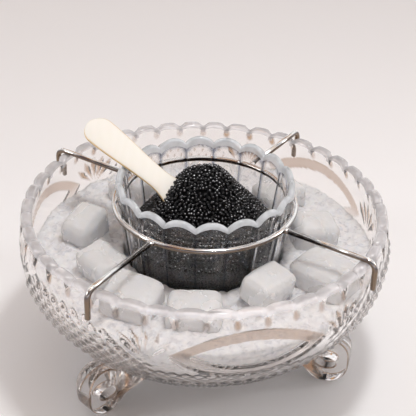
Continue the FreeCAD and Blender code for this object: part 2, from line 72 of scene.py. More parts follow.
def feed(tree, source, socket):
    """Sets a plain value on a socket, or links a node's output to it."""
    if isinstance(source, bpy.types.NodeSocket):
        tree.links.new(source, socket)
    else:
        socket.default_value = source


def pattern_on(tree, kind, space="Object", **values):
    """Noise or another texture on Object or other coordinates, with named settings."""
    place = tree.nodes.new("ShaderNodeTexCoord")
    pattern = tree.nodes.new("ShaderNodeTex" + kind)
    for label, value in values.items():
        pattern.inputs[label].default_value = value
    tree.links.new(place.outputs[space], pattern.inputs["Vector"])
    return pattern.outputs


def ramp(tree, source, low, high, start=0, end=1, shape="LINEAR"):
    """Value that runs from start to end while its source runs from low to high."""
    reach = tree.nodes.new("ShaderNodeMapRange")
    reach.interpolation_type = shape
    for label, value in (("From Min", low), ("From Max", high), ("To Min", start), ("To Max", end)):
        feed(tree, value, reach.inputs[label])
    tree.links.new(source, reach.inputs["Value"])
    return reach.outputs["Result"]


def mix(tree, share, first, second):
    """Colour between two others by a share."""
    mixed = tree.nodes.new("ShaderNodeMix")
    mixed.data_type = "RGBA"
    for label, value in (("Factor", share), ("A", first), ("B", second)):
        feed(tree, value, mixed.inputs[label])
    return mixed.outputs["Result"]


table_mesh.materials.append(new_finish("table_finish", Base_Color=table_colour, Roughness=0.6)[0])

studio = bpy.data.worlds.new("studio")
studio.use_nodes = True
bpy.context.scene.world = studio
tent = studio.node_tree
direction = tent.nodes.new("ShaderNodeTexCoord").outputs["Generated"]
upward = tent.nodes.new("ShaderNodeSeparateXYZ")
tent.links.new(direction, upward.inputs["Vector"])
upper_part = ramp(tent, upward.outputs["Z"], 0.12, 0.30, shape="SMOOTHSTEP")
tone = cloth_colour
for patch_scale, low, high, colour in ((2.3, 0.53, 0.58, warm_wood), (3.1, 0.56, 0.60, dark_ceiling)):
    folds = pattern_on(tent, "Noise", "Generated", Scale=patch_scale, Detail=1)
    gap = ramp(tent, folds["Fac"], low, high, 0, upper_part, "SMOOTHSTEP")
    tone = mix(tent, gap, tone, colour)
doorway = tent.nodes.new("ShaderNodeVectorMath")
doorway.operation = "DOT_PRODUCT"
doorway.inputs[1].default_value = Vector(doorway_direction).normalized()
tent.links.new(direction, doorway.inputs[0])
dim = ramp(tent, doorway.outputs["Value"], 0.86, 0.94, shape="SMOOTHSTEP")
tent.links.new(mix(tent, dim, tone, dim_doorway), tent.nodes["Background"].inputs["Color"])


def light_panel(name, place, aim, width, depth, power):
    """A soft rectangular lamp aimed at a point."""
    lamp = bpy.data.lights.new(name, "AREA")
    lamp.shape = "RECTANGLE"
    lamp.size = width
    lamp.size_y = depth
    lamp.energy = power
    panel = bpy.data.objects.new(name, lamp)
    panel.location = place
    panel.rotation_euler = (Vector(aim) - Vector(place)).to_track_quat("-Z", "Y").to_euler()
    bpy.context.collection.objects.link(panel)


light_panel("overhead", (0.12, -0.10, 0.95), (0, 0, 0.08), 0.12, 0.10, 3.0)
light_panel("left_side", (-0.85, -0.25, 0.55), (0, 0, 0.08), 0.10, 0.35, 1.2)
light_panel("right_side", (0.8, 0.1, 0.45), (0, 0, 0.08), 0.10, 0.30, 0.9)
light_panel("front_fill", (0.15, -1.0, 0.30), (0, 0, 0.04), 0.7, 0.25, 1.6)
bpy.context.scene.cycles.max_bounces = 24
bpy.context.scene.cycles.transmission_bounces = 24
bpy.context.scene.cycles.glossy_bounces = 8

camera_place = Vector((0.00199, -0.60192, 0.48216))
camera_aim = Vector((0.00199, 0, 0.11245))
camera_roll = math.radians(1.73)
camera = bpy.data.objects.new("camera", bpy.data.cameras.new("camera"))
camera.data.lens = 97.25
camera.data.sensor_width = 36
camera.data.clip_start = 0.05
camera.location = camera_place
look = (camera_aim - camera_place).to_track_quat("-Z", "Y").to_matrix().to_4x4()
camera.rotation_euler = (look @ Matrix.Rotation(camera_roll, 4, "Z")).to_euler()
bpy.context.collection.objects.link(camera)
bpy.context.scene.camera = camera
bpy.context.scene.view_settings.view_transform = "Standard"


# Bowl: one pressing of clear soda glass on three scroll feet, fire polished.
# The outside carries the cut pattern: scalloped rim with a thumb notch under every
# valley, mitre fans, stepped oval panels and a lattice of diamond points.
belly_radius = 0.1164
belly_height = 0.094
belly_curve = 0.056
lower_depth = 0.083
bowl_base = 0.022
bowl_rim = 0.1152
rim_lean = math.radians(6.5)
bowl_wall = 0.007
bowl_floor = 0.008
first_foot = -45.3
foot_spacing = 120.0
scallops = 42
first_valley = 1.6
spin_steps = 16 * scallops

belly_centre = belly_radius - belly_curve
lower_turn = math.pi / 2 - 2 * math.atan((lower_depth - belly_curve) / belly_centre)
lower_curve = belly_curve + belly_centre / math.cos(lower_turn)
lower_centre = belly_height + belly_centre * math.tan(lower_turn)


def wall_radius(height, inset=0.0):
    """Radius of the wall at a height: sphere below, torus at the belly, cone at the rim."""
    height = np.asarray(height, float)
    reach = belly_curve - inset
    low = belly_height - reach * math.sin(lower_turn)
    high = belly_height + reach * math.sin(rim_lean)
    high_radius = belly_centre + reach * math.cos(rim_lean)
    sphere = np.sqrt(np.clip((lower_curve - inset) ** 2 - (lower_centre - height) ** 2, 0, None))
    torus = belly_centre + np.sqrt(np.clip(reach ** 2 - (height - belly_height) ** 2, 0, None))
    cone = high_radius - (height - high) * math.tan(rim_lean)
    return np.where(height > high, cone, np.where(height > low, torus, sphere))[()]


def wall_slope(height):
    """Change of the wall's radius with height."""
    step = 0.00005
    return (wall_radius(height + step) - wall_radius(height - step)) / (2 * step)


def smooth_step(low, high, value):
    """Ramp from 0 to 1 with soft ends."""
    share = np.clip((value - low) / (high - low), 0, 1)
    return share * share * (3 - 2 * share)


diamond_columns = 84
half_column = 180 / diamond_columns
arch_top = 0.0996
arch_drop = 0.0000285
arch_reach = 30.0
band_top = 0.058
band_bottom = 0.042
diamond_heights = [arch_top]
while diamond_heights[-1] > band_bottom:
    last = diamond_heights[-1]
    spacing = wall_radius(last) * math.radians(half_column) / math.sqrt(1 + wall_slope(last) ** 2)
    diamond_heights.append(last - spacing)


def around(azimuth, start, period):
    """Angle from the nearest of the places that repeat every period from a start."""
    return (azimuth - start + period / 2) % period - period / 2


def diamond_relief(azimuth, height):
    """Rise of the pressed diamond points above the plain wall."""
    rows = np.interp(-height, [-h for h in diamond_heights], np.arange(len(diamond_heights)))
    columns = (azimuth - first_foot) / half_column
    falling = (columns + rows) / 2
    rising = (columns - rows) / 2
    centre_falling = np.round(falling)
    centre_rising = np.round(rising)
    centre_row = centre_falling - centre_rising
    centre_azimuth = first_foot + (centre_falling + centre_rising) * half_column
    centre_height = np.interp(centre_row, np.arange(len(diamond_heights)), diamond_heights)
    off = around(centre_azimuth, first_foot, foot_spacing)
    arch = (np.abs(off) < arch_reach) & (centre_height <= arch_top - arch_drop * off ** 2)
    inside = arch | (centre_height <= band_top)
    inside &= (centre_row >= 1) & (centre_row <= len(diamond_heights) - 2)
    side = 2 * np.maximum(np.abs(falling - centre_falling), np.abs(rising - centre_rising))
    point = 0.00025 + 0.0013 * (1 - side ** 1.25)
    return np.where(inside, point, 0.0)


fan_side = 29.5
fan_foot_height = 0.0795
fan_flutes = 5
fan_spread = 84.0
fan_start = 0.0025
fan_length = 0.022
fan_keel = 0.62
flute_width = 0.0062
flute_depth = 0.0019


def fan_relief(azimuth, height):
    """Depth of the mitre-cut fans that stand on both sides of every foot."""
    cut = np.zeros_like(azimuth)
    slope = wall_slope(fan_foot_height)
    up = (height - fan_foot_height) * math.sqrt(1 + slope ** 2)
    for side in (-1, 1):
        away = around(azimuth, first_foot + side * fan_side, foot_spacing)
        across = np.radians(away) * wall_radius(fan_foot_height)
        for flute in range(fan_flutes):
            lean = math.radians(fan_spread * (flute / (fan_flutes - 1) - 0.5))
            along = (across * math.sin(lean) + up * math.cos(lean) - fan_start) / fan_length
            beside = np.abs(across * math.cos(lean) - up * math.sin(lean)) / (flute_width / 2)
            ramp = np.minimum(along / fan_keel, (1 - along) / (1 - fan_keel))
            cut = np.maximum(cut, flute_depth * np.clip(ramp - beside, 0, 1))
    return cut


panel_height = 0.085
panel_half_width = 0.047
panel_half_height = 0.0185
panel_band = 0.007
panel_steps = ((0.0, 0.0008), (panel_band, 0.0010))


def inside_panel(azimuth, height, band):
    """Share from 0 outside to 1 inside the oval outline moved in by a band."""
    away = around(azimuth, first_foot + foot_spacing / 2, foot_spacing)
    across = np.sin(np.radians(away)) * wall_radius(height)
    tall = panel_half_height - band
    wide = panel_half_width * tall / panel_half_height + band
    lens = (wide ** 2 + tall ** 2) / (2 * tall)
    drop = np.abs(height - panel_height) + lens - tall
    return smooth_step(0.0, 0.0011, lens - np.hypot(across, drop))


def panel_relief(azimuth, height):
    """Depth of the stepped oval panels midway between the feet."""
    return sum(depth * inside_panel(azimuth, height, band) for band, depth in panel_steps)


def panel_ring(azimuth, height):
    """Band between the two steps of an oval panel, strongest towards the rim."""
    ring = inside_panel(azimuth, height, 0.0) - inside_panel(azimuth, height, panel_band)
    return ring * (0.45 + 0.55 * smooth_step(panel_height - 0.008, panel_height + 0.004, height))


scallop_drop = 0.0022
scallop_round = 0.012
scallop_reach = 0.76
scallop_rim = wall_radius(bowl_rim)
notch_round = 0.0042
notch_depth = 0.0019
notch_bottom = 0.1045


def edge_fall(azimuth, rim, count, first, drop, crest_round, reach_share):
    """Fall of a scalloped edge below its crests at an angle: round crests that meet in valleys."""
    reach = rim * math.sin(math.pi / count) * reach_share
    lift = math.sqrt(crest_round ** 2 - (math.hypot(reach, drop) / 2) ** 2)
    lean = math.atan2(drop, reach)
    centre_x = reach / 2 + lift * math.sin(lean)
    centre_z = -drop / 2 - lift * math.cos(lean)
    across = np.minimum(np.radians(np.abs(around(azimuth, first, 360 / count))) * rim, centre_x)
    return -(centre_z + np.sqrt(crest_round ** 2 - (across - centre_x) ** 2))


def scallop_fall(azimuth):
    """Fall of the bowl's edge below its crests at an angle."""
    return edge_fall(azimuth, scallop_rim, scallops, first_valley, scallop_drop, scallop_round, scallop_reach)


def notch_relief(azimuth, height):
    """Depth of the thumb notch under every valley of the rim."""
    away = around(azimuth, first_valley, 360 / scallops)
    across = np.radians(away) * wall_radius(height)
    deep = notch_depth * np.clip((height - notch_bottom) / (bowl_rim - notch_bottom), 0, 1)
    groove = notch_round - np.sqrt(np.clip(notch_round ** 2 - across ** 2, 0, None))
    return np.clip(deep - groove, 0, None)


def rim_arc(outer, inner, top, rim_round, steps):
    """Points over a rounded rim, from the outside's radius to the inside's."""
    out_turn = np.linspace(0, math.pi / 2, steps)[1:]
    in_turn = np.linspace(math.pi / 2, math.pi, steps)
    points = [(outer - rim_round * (1 - math.cos(t)), top - rim_round * (1 - math.sin(t))) for t in out_turn]
    return points + [(inner + rim_round * (1 + math.cos(t)), top - rim_round * (1 - math.sin(t))) for t in in_turn]


def bowl_section():
    """Half section of the wall: out along the base, up the outside, over the rim and down the inside."""
    base_round = 0.003
    rim_round = 0.0024
    start = bowl_base + base_round
    lower = np.linspace(start, diamond_heights[-1], 9)[:-1]
    lattice = np.interp(np.arange((len(diamond_heights) - 1) * 4, -1, -1) / 4,
                        np.arange(len(diamond_heights)), diamond_heights)
    upper = np.linspace(arch_top, bowl_rim - rim_round, 17)[1:]
    outside = [(wall_radius(z), z) for z in np.concatenate([lower, lattice, upper])]
    foot_radius = wall_radius(bowl_base) - base_round
    points = [(0, bowl_base), (foot_radius * 0.5, bowl_base), (foot_radius, bowl_base)]
    points += [(foot_radius + (outside[0][0] - foot_radius) * math.sin(t),
                start - base_round * math.cos(t)) for t in np.linspace(0.4, 1.2, 3)]
    points += outside
    outer = wall_radius(bowl_rim - rim_round)
    inner = wall_radius(bowl_rim - rim_round, bowl_wall)
    points += rim_arc(outer, inner, bowl_rim, rim_round, 6)
    floor = bowl_base + bowl_floor
    inside = np.linspace(bowl_rim - rim_round, floor + 0.0005, 26)[1:]
    points += [(wall_radius(z, bowl_wall), z) for z in inside]
    floor_radius = wall_radius(floor, bowl_wall)
    points += [(floor_radius - 0.002, floor), (floor_radius * 0.5, floor), (0, floor)]
    return points


def revolve(points, steps, start_azimuth):
    """Closed surface about the axis from a half section: a sixth is spun and set round six times."""
    bm = bmesh.new()
    turn = math.radians(start_azimuth)
    outline = [bm.verts.new((r * math.sin(turn), -r * math.cos(turn), z)) for r, z in points]
    edges = [bm.edges.new(pair) for pair in zip(outline, outline[1:])]
    bmesh.ops.spin(bm, geom=outline + edges, cent=(0, 0, 0), axis=(0, 0, 1),
                   angle=math.pi / 3, steps=steps // 6, use_merge=False)
    sixth = bm.verts[:] + bm.edges[:] + bm.faces[:]
    for index in range(1, 6):
        copied = bmesh.ops.duplicate(bm, geom=sixth)
        moved = [v for v in copied["geom"] if isinstance(v, bmesh.types.BMVert)]
        bmesh.ops.rotate(bm, verts=moved, cent=(0, 0, 0), matrix=Matrix.Rotation(index * math.pi / 3, 3, "Z"))
    bmesh.ops.remove_doubles(bm, verts=bm.verts, dist=0.000002)
    return bm


def place_piece(mesh):
    """Smooth object from a mesh, at the origin and riding on the root body."""
    mesh.polygons.foreach_set("use_smooth", [True] * len(mesh.polygons))
    piece = bpy.data.objects.new(mesh.name, mesh)
    bpy.context.collection.objects.link(piece)
    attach(piece, "root")
    return piece


def finish_piece(bm, name):
    """Object from a bmesh, with its faces turned outwards."""
    bmesh.ops.recalc_face_normals(bm, faces=bm.faces)
    mesh = bpy.data.meshes.new(name)
    bm.to_mesh(mesh)
    bm.free()
    return place_piece(mesh)


def places_of(parts, label):
    """Places of a mesh's vertices or faces as rows of numbers."""
    flat = np.empty(len(parts) * 3)
    parts.foreach_get(label, flat)
    return flat.reshape(-1, 3)


def turned_places(parts, label):
    """Radius, azimuth and height of every vertex or face of a turned piece."""
    places = places_of(parts, label)
    return (np.hypot(places[:, 0], places[:, 1]), np.degrees(np.arctan2(places[:, 0], -places[:, 1])),
            places[:, 2].copy())


def press(mesh, new_radius, new_height):
    """Moves every vertex of a turned piece to a new radius and height, as the mould does."""
    places = places_of(mesh.vertices, "co")
    stretch = new_radius / np.maximum(np.hypot(places[:, 0], places[:, 1]), 1e-9)
    places[:, 0] *= stretch
    places[:, 1] *= stretch
    places[:, 2] = new_height
    mesh.vertices.foreach_set("co", places.ravel())
    mesh.update()


bowl = finish_piece(revolve(bowl_section(), spin_steps, first_foot), "bowl_body")
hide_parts("bowl")
radius, azimuth, height = turned_places(bowl.data.vertices, "co")
outside = (radius > wall_radius(height) - 0.003) & (height > bowl_base + 0.004)
rise = diamond_relief(azimuth, height) - fan_relief(azimuth, height)
rise -= panel_relief(azimuth, height) + notch_relief(azimuth, height)
slope = wall_slope(height)
scale = np.where(outside, rise, 0) / np.sqrt(1 + slope ** 2)
near_rim = smooth_step(bowl_rim - 0.007, bowl_rim - 0.001, height)
new_height = height - scale * slope - scallop_fall(azimuth) * near_rim
press(bowl.data, radius + scale, new_height)


def cut_slope(azimuth, height):
    """How far the pattern's surface leans left or down, from the rise beside each point; facets that lean this way get
    painted shade.
    """
    def rise_at(a, z):
        return diamond_relief(a, z) - fan_relief(a, z) - panel_relief(a, z)
    step = 0.0003
    turn = math.degrees(step / belly_radius)
    across = (rise_at(azimuth + turn, height) - rise_at(azimuth - turn, height)) / (2 * step)
    up = (rise_at(azimuth, height + step) - rise_at(azimuth, height - step)) / (2 * step)
    return np.clip(0.75 * across + 0.66 * up, 0, None)


def shade_piece(piece, shares):
    """Stores the painted shade of the cuts at every vertex of a glass piece."""
    shade = piece.data.attributes.new("cut_shade", "FLOAT", "POINT")
    shade.data.foreach_set("value", np.clip(shares, 0, 1).astype(np.float32))


# Painted shade and reflections: cut facets that lean left or down, an oval spot under each rim notch (its strength
# random from notch to notch), the band of each oval panel and the fans towards the back all get the brown cut tint.
notch_spot_height = 0.1070
notch_spot_width = 0.0026
notch_spot_rise = 0.0038
facet_shade = 0.9
ring_shade = 0.78
fan_shade = 0.95

away = around(azimuth, first_valley, 360 / scallops)
which = np.round((azimuth - away) * scallops / 360)
notch_shade = 0.5 + 0.5 * (np.sin(which * 12.99) * 4375.85 % 1)
hollow = np.hypot(np.radians(away) * belly_radius / notch_spot_width,
                  (new_height - notch_spot_height) / notch_spot_rise)
behind = -(radius + scale) * np.cos(np.radians(azimuth))
shares = [facet_shade * smooth_step(0.12, 0.6, cut_slope(azimuth, height)),
          notch_shade * smooth_step(1.15, 0.5, hollow),
          ring_shade * panel_ring(azimuth, height),
          fan_shade * smooth_step(-0.05, 0.03, behind) * np.clip(2 * fan_relief(azimuth, height) / flute_depth, 0, 1)]
shade_piece(bowl, np.where(outside, np.max(shares, axis=0), 0))


def new_group(name, takes, gives):
    """Empty shader node group with named inputs and outputs."""
    group = bpy.data.node_groups.new(name, "ShaderNodeTree")
    for side, sockets in (("INPUT", takes), ("OUTPUT", gives)):
        for label, kind in sockets.items():
            group.interface.new_socket(label, in_out=side, socket_type="NodeSocket" + kind)
    return group, group.nodes.new("NodeGroupInput").outputs, group.nodes.new("NodeGroupOutput").inputs


def use_group(tree, group, values):
    """Places a group in a material with the material's own values."""
    node = tree.nodes.new("ShaderNodeGroup")
    node.node_tree = group
    for label, value in values.items():
        node.inputs[label].default_value = value
    return node.outputs


def bump_from(tree, source, strength, distance):
    """Fine relief in the surface from a mask."""
    relief = tree.nodes.new("ShaderNodeBump")
    relief.inputs["Strength"].default_value = strength
    relief.inputs["Distance"].default_value = distance
    tree.links.new(source, relief.inputs["Height"])
    return relief.outputs["Normal"]


# Mixes the clear colour towards the painted shade colour by each vertex's stored share, and adds the mould's ripple.
pressed_skin_painted_shade, takes, gives = new_group("pressed_skin_painted_shade", {"Clear": "Color", "Painted Cut Shade": "Color"},
                                       {"Color": "Color", "Normal": "Vector"})
cuts = pressed_skin_painted_shade.nodes.new("ShaderNodeAttribute")
cuts.attribute_name = "cut_shade"
pressed_skin_painted_shade.links.new(mix(pressed_skin_painted_shade, cuts.outputs["Fac"], takes["Clear"], takes["Painted Cut Shade"]), gives["Color"])
ripple = pattern_on(pressed_skin_painted_shade, "Noise", Scale=45, Detail=2)
pressed_skin_painted_shade.links.new(bump_from(pressed_skin_painted_shade, ripple["Fac"], 0.12, 0.001), gives["Normal"])


def clear_glass(name, shade, roughness):
    """Fire-polished pressed glass with a faint mould texture, and painted shade and reflections tinting its cuts."""
    glass, tree, shader = new_finish(name, Roughness=roughness, Transmission_Weight=1.0, IOR=1.5)
    skin = use_group(tree, pressed_skin_painted_shade, {"Clear": (0.990, 0.974, 0.966, 1), "Painted Cut Shade": (*shade, 1)})
    tree.links.new(skin["Color"], shader["Base Color"])
    tree.links.new(skin["Normal"], shader["Normal"])
    return glass


bowl_glass = clear_glass("bowl_glass", (0.30, 0.14, 0.05), 0.03)
bowl.data.materials.append(bowl_glass)


# Painted light: a whitish band along each scalloped rim stands in for the bright light the rounded rim catches.
rim_band = 0.0034

painted_rim_light, takes, gives = new_group("painted_rim_light", {"Dull": "Color", "Pale": "Color"},
                                     {"Color": "Color", "Roughness": "Float"})
haze = pattern_on(painted_rim_light, "Noise", Scale=130, Detail=2)
paleness = ramp(painted_rim_light, haze["Fac"], 0.35, 0.62)
painted_rim_light.links.new(mix(painted_rim_light, paleness, takes["Dull"], takes["Pale"]), gives["Color"])
painted_rim_light.links.new(ramp(painted_rim_light, haze["Fac"], 0, 1, 0.04, 0.22), gives["Roughness"])


def rim_with_painted_light(name, colour, clearness):
    """Rim where the glass was rounded in the flame, with painted light: whitish and still partly clear, standing in for
    the light the rim catches, under a soft haze.
    """
    rim, tree, shader = new_finish(name, Transmission_Weight=clearness, IOR=1.5)
    haze = use_group(tree, painted_rim_light, {"Dull": (*(0.82 * c for c in colour), 1), "Pale": (*colour, 1)})
    tree.links.new(haze["Color"], shader["Base Color"])
    tree.links.new(haze["Roughness"], shader["Roughness"])
    return rim


def dress_rim(piece, edge_height, material):
    """Gives the faces next to the scalloped edge the rim's finish with its painted light."""
    piece.data.materials.append(material)
    _, azimuth, height = turned_places(piece.data.polygons, "center")
    in_band = height > edge_height(azimuth) - rim_band
    piece.data.polygons.foreach_set("material_index", in_band.astype(np.int32))


dress_rim(bowl, lambda azimuth: bowl_rim - scallop_fall(azimuth), rim_with_painted_light("bowl_rim", (0.97, 0.95, 0.97), 0.55))


# Feet: three scrolls in the bowl's own glass, each a broad tongue under the wall
# that narrows, turns out along the table and curls back up round an open eye.
foot_radius = 0.086
foot_pad = 0.0035
scroll_radius = 0.015
scroll_width = 0.014
scroll_round = 0.0034
curl_radius = 0.012
curl_end = math.radians(140)
scroll_top = 0.034
eye_height = 0.015
eye_half_width = 0.007
eye_half_height = 0.004
tongue_inner = 0.062
tongue_outer = 0.080
tongue_round = 0.004
tongue_half_width = 0.018
tongue_bend = 0.011
tongue_heights = (0.0366, 0.034, 0.031, 0.028, 0.026, 0.024, 0.022, 0.019, 0.016, 0.013, 0.011, 0.008, 0.0057,
                  0.003, 0.0008)
sunk_in_wall = 0.0006
scroll_height = math.sqrt(scroll_radius ** 2 - foot_pad ** 2)
scroll_start = math.radians(216)


def ring_edges(bm, ring):
    """Edges round a closed ring of vertices."""
    return [bm.edges.new(pair) for pair in zip(ring, ring[1:] + ring[:1])]


def scroll_mesh(bm):
    """Plate of one scroll at the front, with an oval eye through it and rounded edges."""
    outline = [(foot_radius + scroll_radius * math.cos(t), max(scroll_height + scroll_radius * math.sin(t), 0))
               for t in np.linspace(scroll_start, 2 * math.pi, 18)]
    curl_middle = foot_radius + scroll_radius - curl_radius
    curl_height = scroll_top - curl_radius
    outline += [(curl_middle + curl_radius * math.cos(t), curl_height + curl_radius * math.sin(t))
                for t in np.linspace(0, curl_end, 14)]
    outline += [(wall_radius(z, sunk_in_wall), z) for z in (0.029, 0.0275, 0.0265)]
    outline.append((tongue_inner, bowl_base))
    eye = [(foot_radius + eye_half_width * math.cos(t), eye_height + eye_half_height * math.sin(t))
           for t in np.linspace(0, 2 * math.pi, 24, endpoint=False)]
    edges = []
    for loop in (outline, eye):
        ring = [bm.verts.new((-scroll_width / 2, -r, z)) for r, z in loop]
        edges += ring_edges(bm, ring)
    filled = bmesh.ops.triangle_fill(bm, edges=edges, use_beauty=True)
    faces = [f for f in filled["geom"] if isinstance(f, bmesh.types.BMFace)]
    side = bmesh.ops.extrude_face_region(bm, geom=faces)
    moved = [v for v in side["geom"] if isinstance(v, bmesh.types.BMVert)]
    bmesh.ops.translate(bm, verts=moved, vec=(scroll_width, 0, 0))
    bmesh.ops.recalc_face_normals(bm, faces=bm.faces)
    sharp = [e for e in bm.edges if len(e.link_faces) == 2 and e.calc_face_angle(0) > math.radians(60)]
    bmesh.ops.bevel(bm, geom=sharp, offset=scroll_round, segments=5, profile=0.5, affect="EDGES",
                    clamp_overlap=True, material=-1)


def bridge_rings(bm, rings):
    """Closed skin over rings of points, each bridged to the next: returns its end faces."""
    loops = [ring_edges(bm, ring) for ring in rings]
    for near, far in zip(loops, loops[1:]):
        bmesh.ops.bridge_loops(bm, edges=near + far)
    return [bmesh.ops.edgeloop_fill(bm, edges=end)["faces"][0] for end in (loops[0], loops[-1])]


def tongue_mesh(bm):
    """Tongue behind one scroll: rounded sections that narrow from the wall down to the table."""
    rings = []
    start_radius = foot_radius + scroll_radius * math.cos(scroll_start)
    start_height = scroll_height + scroll_radius * math.sin(scroll_start)
    for z in tongue_heights:
        half = min(0.004 + 0.496 * z + 6.36 * z * z, tongue_half_width)
        back = np.interp(z, (0, start_height, bowl_base), (foot_radius, start_radius, tongue_inner))
        back = max(back, wall_radius(z, sunk_in_wall) if z > 0.025 else 0)
        front = tongue_outer + max(1 - z / tongue_bend, 0) * (foot_radius - tongue_outer)
        corner = min(tongue_round, half * 0.9, (front - back) * 0.45)
        ring = []
        corners = ((1, front - corner), (-1, front - corner), (-1, back + corner), (1, back + corner))
        for quarter, (side, centre) in enumerate(corners):
            for t in np.linspace(quarter * math.pi / 2, (quarter + 1) * math.pi / 2, 5):
                x = side * (half - corner) + corner * math.cos(t)
                ring.append(bm.verts.new((x, -(centre + corner * math.sin(t)), z)))
        rings.append(ring)
    bridge_rings(bm, rings)


def foot_mesh():
    """One foot at the front: the tongue with the scroll in front of it."""
    bm = bmesh.new()
    scroll_mesh(bm)
    tongue_mesh(bm)
    bmesh.ops.remove_doubles(bm, verts=bm.verts, dist=0.000005)
    return bm


def turned_copy(bm, turn):
    """Copy of a mesh, turned about the axis."""
    copy = bm.copy()
    bmesh.ops.rotate(copy, verts=copy.verts, cent=(0, 0, 0), matrix=Matrix.Rotation(turn, 3, "Z"))
    return copy


foot_bm = foot_mesh()
for index in range(3):
    turn = math.radians(first_foot + index * foot_spacing)
    foot = finish_piece(turned_copy(foot_bm, turn), "bowl_foot_%d" % (index + 1))
    # Painted shade: the rounded side edges of each foot get the brown cut tint.
    across = Vector((math.cos(turn), math.sin(turn), 0))
    lean = np.array([abs(v.normal.dot(across)) for v in foot.data.vertices])
    shade_piece(foot, 0.95 * smooth_step(0.12, 0.4, lean) * smooth_step(0.97, 0.8, lean))
    foot.data.materials.append(bowl_glass)
foot_bm.free()


# Cup: a fluted pressed-glass tumbler with an arched rim.
# It hangs in the wire ring by its taper, with its foot in the ice.
cup_bottom = 0.058
cup_height = 0.077
cup_rim = 0.057
cup_taper = math.radians(8.0)
cup_heel = 0.024
cup_wall = 0.005
cup_floor = 0.007
cup_panels = 18
cup_first_valley = -5.0
cup_arch_fall = 0.0044
cup_arch_round = 0.0145
cup_arch_reach = 0.88
cup_flute_round = 0.060
cup_flute_depth = 0.0015
cup_flute_length = 0.024
cup_crease = 0.0009
cup_top = cup_bottom + cup_height


def cup_radius(height, inset=0.0):
    """Radius of the cup at a height: a round heel under a straight taper."""
    heel = cup_heel - inset
    heel_height = cup_bottom + cup_heel
    side = cup_rim - inset / math.cos(cup_taper)
    join = heel_height - heel * math.sin(cup_taper)
    join_radius = side - (cup_top - join) * math.tan(cup_taper)
    heel_centre = join_radius - heel * math.cos(cup_taper)
    height = np.asarray(height, float)
    round_part = heel_centre + np.sqrt(np.clip(heel ** 2 - (heel_height - height) ** 2, 0, None))
    return np.where(height > join, side - (cup_top - height) * math.tan(cup_taper), round_part)[()]


def arch_fall(azimuth):
    """Fall of the cup's edge below the tops of its arches at an angle."""
    return edge_fall(azimuth, cup_rim, cup_panels, cup_first_valley, cup_arch_fall, cup_arch_round, cup_arch_reach)


def cup_section():
    """Half section of the cup from the foot's middle up, over the rim and down inside."""
    rim_round = 0.0018
    turn = np.linspace(math.pi / 2, 0.16, 14)[1:]
    heel_height = cup_bottom + cup_heel
    points = [(0, cup_bottom), (0.012, cup_bottom), (cup_radius(cup_bottom + 0.00001), cup_bottom)]
    points += [(cup_radius(heel_height - cup_heel * math.sin(t)), heel_height - cup_heel * math.sin(t))
               for t in turn]
    top = cup_top - rim_round
    for z in np.linspace(points[-1][1], top, 34)[1:]:
        points.append((cup_radius(z), z))
    points += rim_arc(cup_radius(top), cup_radius(top, cup_wall), cup_top, rim_round, 5)
    floor = cup_bottom + cup_floor
    for z in np.linspace(top, floor + 0.0004, 24)[1:]:
        points.append((cup_radius(z, cup_wall), z))
    points += [(cup_radius(floor, cup_wall) - 0.003, floor), (0, floor)]
    return points


cup = finish_piece(revolve(cup_section(), 20 * cup_panels, cup_first_valley), "cup_body")
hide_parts("cup")
radius, azimuth, height = turned_places(cup.data.vertices, "co")
outside = radius > cup_radius(height) - 0.0022
panel_away = around(azimuth, cup_first_valley + 180 / cup_panels, 360 / cup_panels)
panel_across = np.radians(panel_away) * cup_radius(height)
flute_deep = cup_flute_depth * np.clip((height - cup_top + cup_flute_length) / cup_flute_length, 0, 1)
flute = np.clip(flute_deep - panel_across ** 2 / (2 * cup_flute_round), 0, None)
valley = np.radians(np.abs(around(azimuth, cup_first_valley, 360 / cup_panels))) * cup_rim
above_foot = smooth_step(cup_bottom + 0.012, cup_bottom + 0.03, height)
crease = cup_crease * np.exp(-(valley / cup_crease) ** 2) * above_foot
new_height = height - arch_fall(azimuth) * smooth_step(cup_top - 0.012, cup_top - 0.001, height)
press(cup.data, radius - np.where(outside, flute + crease, 0), new_height)
# Painted shade: dark lines along the creases and a dark band just under the arched rim, inside and out, tinted
# blue-grey.
below_edge = cup_top - arch_fall(azimuth) - new_height
under_rim_painted_shade = smooth_step(0.0028, 0.0038, below_edge) * smooth_step(0.0075, 0.0055, below_edge)
crease_painted_shade = np.exp(-(valley / 0.0013) ** 2) * above_foot
shade_piece(cup, np.where(outside, np.maximum(crease_painted_shade, 0.35 * under_rim_painted_shade), 0.9 * under_rim_painted_shade))
cup.data.materials.append(clear_glass("cup_glass", (0.12, 0.15, 0.22), 0.02))
dress_rim(cup, lambda azimuth: cup_top - arch_fall(azimuth), rim_with_painted_light("cup_rim", (0.92, 0.96, 1.0), 0.42))


# Holder: chromed steel wire, a butt-welded ring with four arms brazed to it.
# Each arm runs out level and bends down over the bowl's rim.
wire_radius = 0.00175
seat_gap = 0.0003
ring_height = bowl_rim + seat_gap + wire_radius
ring_radius = (cup_rim - (cup_top - ring_height) * math.tan(cup_taper)
               + (seat_gap + wire_radius) / math.cos(cup_taper))
arm_drop = belly_radius + seat_gap + wire_radius
arm_bend = 0.006
arm_hook = 0.019
first_arm = -32.3
wire_sides = 24
braze_radius = 0.0026


